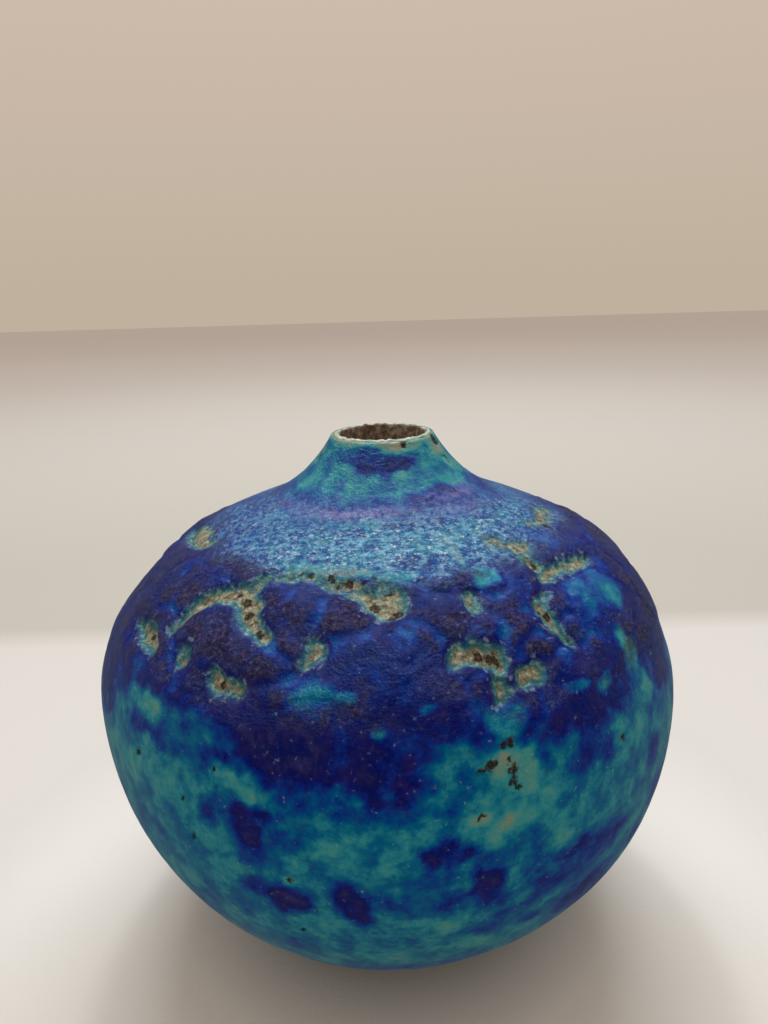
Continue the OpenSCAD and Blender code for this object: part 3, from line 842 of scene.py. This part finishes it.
class Shader(Nodes):
    """A node material for a surface."""

    def __init__(self, name):
        self.material = bpy.data.materials.new(name)
        self.material.use_nodes = True
        super().__init__(self.material.node_tree, "Object")
        self.surface = self.tree.nodes["Principled BSDF"]

    def finish(self, **inputs):
        for key, value in inputs.items():
            self.put(value, self.surface.inputs[key.replace("_", " ")])
        return self.material


# Strength of the pale dust over the cobalt
DUST = 0.2
GLAZE_SCALE = [
    (0.0, rgb(142, 142, 120)),
    (0.1, rgb(110, 144, 130)),
    (0.19, rgb(74, 150, 148)),
    (0.3, rgb(40, 138, 154)),
    (0.42, rgb(0, 104, 144)),
    (0.54, rgb(0, 72, 144)),
    (0.66, rgb(6, 40, 136)),
    (0.78, rgb(8, 18, 104)),
    (0.9, rgb(22, 24, 94)),
    (1.0, rgb(44, 42, 104)),
]


def glaze_tone(s, fields, edge):
    """The place on the colour scale: shade, mottled, with a fringe along the gaps and a darker brink,
    partly painted shade, beside them.
    """
    grain_and_glint = fields["grain_and_glint"]
    mottle = s.grade(s.noise(5.0, 6.0, 0.58), 0.3, 0.7, -0.17, 0.17)
    grains = s.grade(s.noise(1.3, 4.0, 0.6), 0.3, 0.7, -1.0, 1.0)
    speckle = s.times(grains, s.grade(grain_and_glint, 0.0, 1.0, 0.05, 0.3))
    tone = s.plus(s.plus(fields["shade"], mottle), speckle)
    # a celadon and turquoise fringe inside the gap's edge, and outside it a darker blue brink, partly the
    # coat's bluer edge and partly painted shade on the islands' walls
    fringe = s.grade(edge, -0.7, 1.1, 0.04, 0.7)
    inside = s.grade(edge, 1.3, 0.7)
    lower = s.math("MINIMUM", tone, fringe)
    tone = s.plus(s.times(inside, s.math("SUBTRACT", lower, tone)), tone)
    blue_edge_and_shade = s.times(s.grade(edge, 0.3, 0.8), s.grade(edge, 2.2, 1.0, 0.0, 0.22))
    return s.plus(tone, s.times(blue_edge_and_shade, s.grade(grain_and_glint, 0.6, 0.1)))


def add_violet_tops(s, colour, violet):
    """The matt, dusty violet on top of the thick islands."""
    dusty = s.ramp(s.noise(0.8, 5.0, 0.7), [
        (0.32, rgb(18, 12, 48)),
        (0.5, rgb(48, 36, 74)),
        (0.7, rgb(112, 98, 122)),
    ])
    bluer = s.grade(s.noise(4.0, 4.0, 0.6), 0.5, 0.66, 0.0, 0.6)
    dusty = s.mix(bluer, dusty, rgb(52, 64, 142))
    return s.mix(s.times(violet, 0.8), colour, dusty)


def add_dust_and_glints(s, colour, tone, edge):
    """A pale dust over the cobalt, painted glints along the islands' edges, and pale flecks, partly
    bubbles and partly painted glints.
    """
    dust = s.times(s.grade(s.noise(0.9, 5.0, 0.75), 0.5, 0.7), s.grade(tone, 0.45, 0.7))
    colour = s.mix(s.times(dust, DUST), colour, rgb(70, 92, 156))
    # painted glints: pale blue specks just outside the gaps' edges
    glint = s.times(s.grade(edge, 0.3, 0.8), s.grade(edge, 1.9, 1.1))
    glint = s.times(glint, s.grade(s.noise(1.5, 2.0, 0.5), 0.6, 0.66))
    colour = s.mix(s.times(glint, 0.45), colour, rgb(150, 178, 206))
    # pale flecks: partly bubbles in the glaze, partly painted glints
    bubble_and_glint_fleck = s.grade(s.noise(0.9, 2.0, 0.5), 0.68, 0.76)
    return s.mix(s.times(bubble_and_glint_fleck, 0.4), colour, rgb(132, 166, 184))


def add_shoulder_grains_and_glints(s, colour, grain_and_glint, blush):
    """The shoulder's pale streaky grains and lilac streaks, with a painted sheen and painted glints."""
    # a paler blue on the shoulder: partly the thin coat's own colour, partly a painted sheen
    colour = s.mix(s.times(grain_and_glint, 0.4), colour, rgb(56, 102, 178))
    lilac = s.times(blush, s.grade(s.noise(1.4, 4.0, 0.6), 0.36, 0.56))
    colour = s.mix(s.times(lilac, 0.75), colour, rgb(146, 138, 200))
    # painted highlights: pale cyan glitter and near-white glints in level streaks
    streaks = s.flattened(2.4)
    painted_glitter = s.times(s.grade(s.noise(1.5, 6.0, 0.75, streaks), 0.46, 0.6), grain_and_glint)
    colour = s.mix(s.times(painted_glitter, 0.75), colour, rgb(142, 212, 244))
    painted_spark = s.times(s.grade(s.noise(1.1, 5.0, 0.75, streaks), 0.55, 0.65), grain_and_glint)
    return s.mix(s.times(painted_spark, 0.8), colour, rgb(226, 244, 248))


def add_gap_floor(s, colour, edge):
    """The gaps' gritty floor, from rust to cream, with a dull teal rim."""
    grit = s.ramp(s.noise(1.2, 6.0, 0.75), [
        (0.36, rgb(40, 26, 16)),
        (0.43, rgb(96, 78, 56)),
        (0.5, rgb(130, 130, 106)),
        (0.57, rgb(154, 156, 132)),
        (0.68, rgb(216, 212, 192)),
    ])
    colour = s.mix(s.times(s.grade(edge, 0.1, -0.7), 0.9), colour, grit)
    dull = s.ramp(s.noise(1.1, 4.0, 0.65), [
        (0.36, rgb(22, 60, 84)),
        (0.52, rgb(66, 106, 108)),
        (0.66, rgb(150, 176, 158)),
    ])
    rim = s.times(s.grade(edge, -0.8, -0.2), s.grade(edge, 1.2, 0.2))
    return s.mix(s.times(rim, 0.75), colour, dull)


def glaze_relief(s, rusty, bumpy):
    """Dented pits, the skin's slow peel and its fine pimples."""
    dent = s.bump(s.math("SUBTRACT", 1.0, rusty), 0.3, 0.8)
    peel = s.bump(s.noise(2.2, 6.0, 0.7, s.flattened(1.5)), 2.0, bumpy, dent)
    return s.bump(s.noise(0.5, 3.0, 0.6), 0.35, bumpy, peel)


def glaze_material(name):
    """The glaze: one colour scale, driven by the values on the mesh and by noise."""
    s = Shader(name)
    fields = {key: s.attribute(key) for key in GLAZE_VALUES}
    grain_and_glint = fields["grain_and_glint"]
    fray = s.grade(s.noise(2.6, 2.0, 0.5), 0.25, 0.75, -0.5, 0.5)
    edge = s.plus(fields["gap"], fray)
    tone = glaze_tone(s, fields, edge)
    plum = s.times(s.grade(s.noise(3.4, 5.0, 0.62), 0.48, 0.64), s.grade(tone, 0.55, 0.75))
    colour = s.mix(s.times(plum, 0.4), s.ramp(tone, GLAZE_SCALE), rgb(48, 32, 98))
    violet = s.plus(fields["island"], s.grade(s.noise(2.4, 5.0, 0.65), 0.3, 0.7, -0.3, 0.3))
    violet = s.times(s.grade(violet, 0.12, 0.9), s.grade(edge, 0.6, 1.6))
    colour = add_violet_tops(s, colour, violet)
    colour = add_dust_and_glints(s, colour, tone, edge)
    colour = add_shoulder_grains_and_glints(s, colour, grain_and_glint, fields["blush"])
    colour = add_gap_floor(s, colour, edge)
    rust = s.ramp(s.noise(0.5, 4.0, 0.7), [
        (0.38, rgb(12, 7, 5)),
        (0.54, rgb(52, 30, 18)),
        (0.7, rgb(128, 90, 58)),
    ])
    ragged = s.plus(fields["pit"], s.grade(s.noise(0.7, 4.0, 0.65), 0.3, 0.7, -0.45, 0.45))
    rusty = s.grade(ragged, 0.4, 0.7)
    colour = s.mix(s.times(rusty, 0.92), colour, rust)
    # rougher on thick islands, in gaps and in pits
    rough = s.plus(s.grade(violet, 0.0, 1.0, 0.11, 0.22), s.grade(edge, 0.2, -1.0, 0.0, 0.3))
    rough = s.plus(rough, s.grade(s.noise(1.4, 4.0), 0.3, 0.7, -0.05, 0.07))
    rough = s.plus(rough, s.times(rusty, 0.3))
    # less gloss there and on all the cobalt, more where the shoulder glitters
    matt = s.math("MAXIMUM", violet, s.math("MAXIMUM", rusty, s.grade(edge, 0.4, -0.4)))
    matt = s.math("MAXIMUM", matt, s.grade(tone, 0.45, 0.7, 0.0, 0.85))
    matt = s.math("MINIMUM", matt, s.grade(grain_and_glint, 0.0, 0.6, 1.0, 0.2))
    bumpy = s.grade(s.math("MAXIMUM", violet, grain_and_glint), 0.0, 0.8, 0.45, 0.9)
    return s.finish(
        Base_Color=colour,
        Roughness=rough,
        Normal=glaze_relief(s, rusty, bumpy),
        Specular_IOR_Level=s.grade(matt, 0.0, 1.0, 0.3, 0.1),
        Specular_Tint=(0.3, 0.75, 1.0, 1.0),
    )


def clay_material(name, dark, light):
    """Bare stoneware: warm brown, speckled with dark iron and pale grog."""
    s = Shader(name)
    colour = s.ramp(s.noise(2.4, 5.0, 0.65), [(0.3, dark), (0.72, light)])
    iron = s.grade(s.noise(0.8, 2.0), 0.62, 0.68)
    colour = s.mix(iron, colour, rgb(38, 24, 16))
    grog = s.grade(s.cells(1.3), 0.2, 0.1)
    colour = s.mix(s.times(grog, 0.6), colour, rgb(176, 152, 122))
    rough = s.grade(s.noise(1.2, 3.0), 0.3, 0.7, 0.78, 0.95)
    grain = s.bump(s.noise(0.6, 4.0, 0.7), 0.25, 0.8)
    return s.finish(Base_Color=colour, Roughness=rough, Normal=grain)


def collar_material():
    """Gritty grey-brown clay in the throat, and a cream film of glaze over the lip."""
    s = Shader("collar_look")
    clay = s.ramp(s.noise(1.6, 6.0, 0.7), [
        (0.32, rgb(66, 50, 40)),
        (0.5, rgb(118, 100, 84)),
        (0.68, rgb(176, 164, 146)),
    ])
    film = s.ramp(s.noise(2.0, 5.0, 0.65), [(0.35, rgb(112, 148, 134)), (0.62, rgb(196, 204, 184))])
    # reach is the distance from the axis
    ragged = s.plus(s.attribute("reach"), s.grade(s.noise(1.2, 4.0, 0.65), 0.3, 0.7, -0.5, 0.5))
    glazed = s.grade(ragged, MOUTH_R + 0.15, MOUTH_R + 0.6)
    rough = s.grade(glazed, 0.0, 1.0, 0.88, 0.3)
    grain = s.bump(s.noise(0.7, 4.0, 0.7), 0.35, 1.0)
    return s.finish(Base_Color=s.mix(glazed, clay, film), Roughness=rough, Normal=grain)


def liner_material():
    """A thin brown coat, darker where it ran thin."""
    s = Shader("liner_glaze_look")
    colour = s.ramp(s.noise(4.0, 5.0), [(0.3, rgb(96, 78, 56)), (0.7, rgb(150, 132, 100))])
    rough = s.grade(s.noise(2.0, 3.0), 0.3, 0.7, 0.35, 0.6)
    return s.finish(Base_Color=colour, Roughness=rough, Normal=s.bump(s.noise(1.5), 0.2, 0.6))


def dress(piece, material):
    """Give a piece one material."""
    piece.data.materials.clear()
    piece.data.materials.append(material)


# ------------------------------------------------------------------ the stage
FLOOR_SIZE = 6.0
FLOOR_CUTS = 24
# Where the floor takes on the wall's tone, in metres behind the vase
WALL_FROM, WALL_TO = 0.135, 0.155


def make_floor():
    """A flat, finely divided square under the vase."""
    step = np.linspace(-FLOOR_SIZE / 2, FLOOR_SIZE / 2, FLOOR_CUTS + 1)
    x, y = np.meshgrid(step, step)
    points = np.stack([x, y, 0 * x], -1).reshape(-1, 3) / MM
    i, j = np.meshgrid(np.arange(FLOOR_CUTS), np.arange(FLOOR_CUTS), indexing="ij")
    quads = quad_corners(i, j, i + 1, j + 1, FLOOR_CUTS + 1)
    return add_mesh("table_top", points, quads, NO_TRIS, {})


def floor_material():
    """Pale paint, darker under the foot as a painted contact shadow and paler round it as painted light,
    a little darker just behind, that turns to a warm wall tone further back.
    """
    s = Shader("table_paint")
    behind = s.node("SeparateXYZ", {0: s.where}).outputs["Y"]
    apart = s.node("VectorMath", {0: s.where}, operation="LENGTH").outputs["Value"]
    far = s.grade(apart, 0.3, 1.6)
    distant = s.mix(far, rgb(168, 166, 160), rgb(214, 212, 209))
    # painted shade and light: darker right round the foot, paler in a ring just inside the belly's edge
    near = s.mix(s.grade(apart, 0.03, 0.055), rgb(180, 180, 178), rgb(218, 218, 214))
    near = s.mix(s.grade(apart, 0.065, 0.11), near, rgb(196, 196, 194))
    near = s.mix(s.grade(behind, 0.0, 0.13), near, rgb(188, 188, 186))
    back = s.grade(behind, WALL_FROM, WALL_TO)
    colour = s.mix(s.math("MAXIMUM", back, far), near, distant)
    grain = s.bump(s.noise(1.1, 3.0), 0.12, 0.5)
    return s.finish(Base_Color=colour, Roughness=0.6, Normal=grain, Specular_IOR_Level=0.3)


def make_stage():
    """The floor. It lights the vase but isn't mirrored in the glaze, which it would grey."""
    table = make_floor()
    dress(table, floor_material())
    table.visible_glossy = False


def make_world():
    """Pale warm walls all round; in the glaze's gloss the room is dimmer, and darkest in front."""
    world = bpy.data.worlds.new("room")
    world.use_nodes = True
    n = Nodes(world.node_tree, "Generated")
    toward = n.node("SeparateXYZ", {0: n.where}).outputs
    walls = n.ramp(toward["Z"], [(0.0, rgb(192, 177, 158)), (0.42, rgb(210, 191, 177))])
    gloss = n.ramp(toward["Y"], [
        (0.0, rgb(56, 55, 54)),
        (0.45, rgb(156, 176, 186)),
        (0.85, rgb(106, 110, 114)),
    ])
    gloss = n.mix(n.grade(toward["Z"], -0.9, 0.0), rgb(84, 88, 92), gloss)
    ray = n.node("LightPath").outputs
    background = n.tree.nodes["Background"].inputs
    n.put(n.mix(ray["Is Glossy Ray"], walls, gloss), background["Color"])
    n.put(n.grade(ray["Is Diffuse Ray"], 0.0, 1.0, 1.0, 1.2), background["Strength"])
    bpy.context.scene.world = world


def add_area(name, place, size, power, colour, diffuse=True):
    """A soft lamp that faces the middle of the vase."""
    lamp = bpy.data.lights.new(name, "AREA")
    lamp.shape = "RECTANGLE"
    lamp.size, lamp.size_y = size
    lamp.energy = power
    lamp.color = colour
    holder = bpy.data.objects.new(name, lamp)
    bpy.context.scene.collection.objects.link(holder)
    holder.location = place
    away = holder.location - Vector((0, 0, 0.06))
    holder.rotation_euler = away.to_track_quat("Z", "Y").to_euler()
    holder.visible_diffuse = diffuse


def make_lamps():
    """A broad ceiling light, a small one beside it, and a gleam that only the gloss shows."""
    add_area("ceiling", (0.03, 0.5, 0.98), (0.8, 0.62), 10, (0.93, 0.98, 1.0))
    add_area("spot", (-0.06, 0.5, 1.0), (0.1, 0.1), 1.6, (1.0, 0.98, 0.95))
    add_area("gleam", (-0.16, 0.1, 1.1), (0.3, 0.2), 10, (0.9, 0.97, 1.0), False)


# The camera stands in front of the vase and above it, and looks down, a little tilted.
CAMERA_PLACE = (-0.1, -168.4, 147.5)
CAMERA_DOWN = 16.59
CAMERA_ROLL = -1.67
SENSOR = 36.0
LENS = 27.035


def make_camera():
    lens = bpy.data.cameras.new("view")
    lens.sensor_width = SENSOR
    lens.lens = LENS
    lens.clip_start, lens.clip_end = 0.01, 20
    holder = bpy.data.objects.new("view", lens)
    bpy.context.scene.collection.objects.link(holder)
    place = Matrix.Translation([v * MM for v in CAMERA_PLACE])
    tilt = Matrix.Rotation(math.radians(90 - CAMERA_DOWN), 4, "X")
    roll = Matrix.Rotation(math.radians(CAMERA_ROLL), 4, "Z")
    holder.matrix_world = place @ tilt @ roll
    bpy.context.scene.camera = holder
    bpy.context.scene.view_settings.view_transform = "Standard"


# ------------------------------------------------------------------ putting it together
def stand_for(piece, node, material):
    """Dress a piece, and put it in a CAD node's place."""
    dress(piece, material)
    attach(piece, "root")
    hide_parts(node)


coats = make_coats()
stand_for(coats["cobalt"], "cobalt_glaze", glaze_material("cobalt_look"))
stand_for(coats["turquoise"], "turquoise_glaze", glaze_material("turquoise_look"))
stand_for(coats["pale"], "base_glaze", glaze_material("pale_look"))
stand_for(make_collar(), "neck_collar", collar_material())
body_look = clay_material("body_look", rgb(96, 72, 54), rgb(150, 120, 94))
stand_for(make_body(), "clay_body", body_look)
foot_look = clay_material("foot_look", rgb(104, 78, 58), rgb(160, 128, 98))
stand_for(make_foot(), "foot_ring", foot_look)
dress(frame["nodes"]["liner_glaze"], liner_material())

make_stage()
make_world()
make_lamps()
make_camera()
